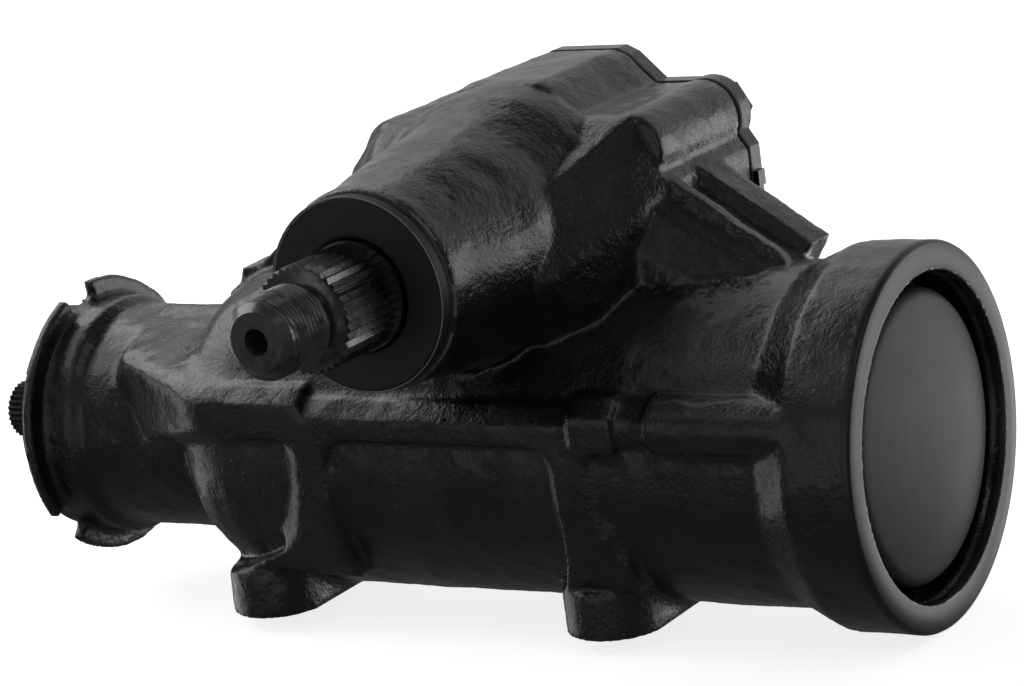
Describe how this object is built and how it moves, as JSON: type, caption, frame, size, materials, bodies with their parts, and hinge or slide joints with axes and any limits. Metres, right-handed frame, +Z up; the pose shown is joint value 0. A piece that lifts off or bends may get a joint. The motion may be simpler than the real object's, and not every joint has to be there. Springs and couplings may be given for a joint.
{
  "type": "steering gearbox",
  "caption": "Recirculating-ball power steering gear: cast housing on mounting lugs, splined pitman shaft, rack piston, worm, rotary valve and splined input shaft.",
  "frame": {"origin": "centre of the four mounting holes, on the mounting face of the lugs", "axes": "+X along the main bore towards the end plug, -Y towards the pitman output spline, +Z up from the mounting face"},
  "size_m": [0.3181, 0.2107, 0.1532],
  "materials": {
    "black_casting": "glossy black paint over rough sand-cast iron",
    "grey_steel": "satin dark grey painted steel pressing",
    "painted_fastener": "black painted steel fastener",
    "oiled_steel": "dark oiled machined steel",
    "spring_steel": "dark phosphated spring steel",
    "bearing_steel": "ground bearing steel",
    "machined_iron": "machined cast iron",
    "bronze": "plain bearing bronze and brass seats",
    "seal_rubber": "black nitrile rubber",
    "shield_rubber": "matt black dust shield",
    "ring_plastic": "filled fluoropolymer ring",
    "gasket": "pressed fibre gasket"
  },
  "bodies": {
    "housing": {"gear_housing": "black_casting", "end_plug": "grey_steel", "end_plug_ring": "spring_steel", "end_plug_seal": "seal_rubber", "side_cover": "black_casting", "side_cover_gasket": "gasket", "side_cover_bolts": "painted_fastener", "side_cover_bush": "bronze", "lash_adjuster": "painted_fastener", "adjuster_lock_nut": "painted_fastener", "pitman_bearings": "bearing_steel", "pitman_seals": "seal_rubber", "seal_washers": "bearing_steel", "seal_retaining_ring": "spring_steel", "dust_shield": "shield_rubber", "lower_thrust_bearing": "bearing_steel", "lower_thrust_races": "bearing_steel", "upper_thrust_bearing": "bearing_steel", "upper_thrust_races": "bearing_steel", "adjuster_plug": "black_casting", "adjuster_plug_nut": "painted_fastener", "adjuster_plug_seal": "seal_rubber", "stub_bearing": "bearing_steel", "stub_seal": "seal_rubber", "stub_dust_seal": "seal_rubber", "stub_retaining_ring": "spring_steel", "port_seats": "bronze"},
    "pitman": {"pitman_shaft": "oiled_steel"},
    "piston": {"rack_piston": "machined_iron", "piston_ring": "ring_plastic", "piston_plug": "machined_iron", "ball_train": "bearing_steel", "ball_return_guide": "bearing_steel", "guide_clamp": "spring_steel", "guide_screws": "spring_steel"},
    "worm": {"worm_shaft": "oiled_steel", "torsion_bar": "spring_steel", "valve_body": "machined_iron", "valve_rings": "ring_plastic"},
    "input": {"stub_shaft": "oiled_steel", "valve_spool": "machined_iron", "spool_pin": "bearing_steel"}
  },
  "joints": [
    {"name": "pitman_turn", "type": "hinge", "parent": "housing", "child": "pitman", "pos_m": [0.0235, 0, 0.109], "axis": [0, 1, 0], "range_deg": [-40, 40]},
    {"name": "piston_slide", "type": "slide", "parent": "housing", "child": "piston", "axis": [1, 0, 0], "range_m": [-0.02105, 0.02105]},
    {"name": "worm_turn", "type": "hinge", "parent": "housing", "child": "worm", "pos_m": [0, 0, 0.0483], "axis": [1, 0, 0], "range_deg": [-600, 600]},
    {"name": "valve_twist", "type": "hinge", "parent": "worm", "child": "input", "pos_m": [0, 0, 0.0483], "axis": [1, 0, 0], "range_deg": [-5, 5], "stiffness_Nm_per_rad": 60}
  ],
  "couplings": [
    {"joint": "piston_slide", "follows": "pitman_turn", "m_per_rad": -0.03},
    {"joint": "worm_turn", "follows": "pitman_turn", "ratio": 14.842}
  ]
}
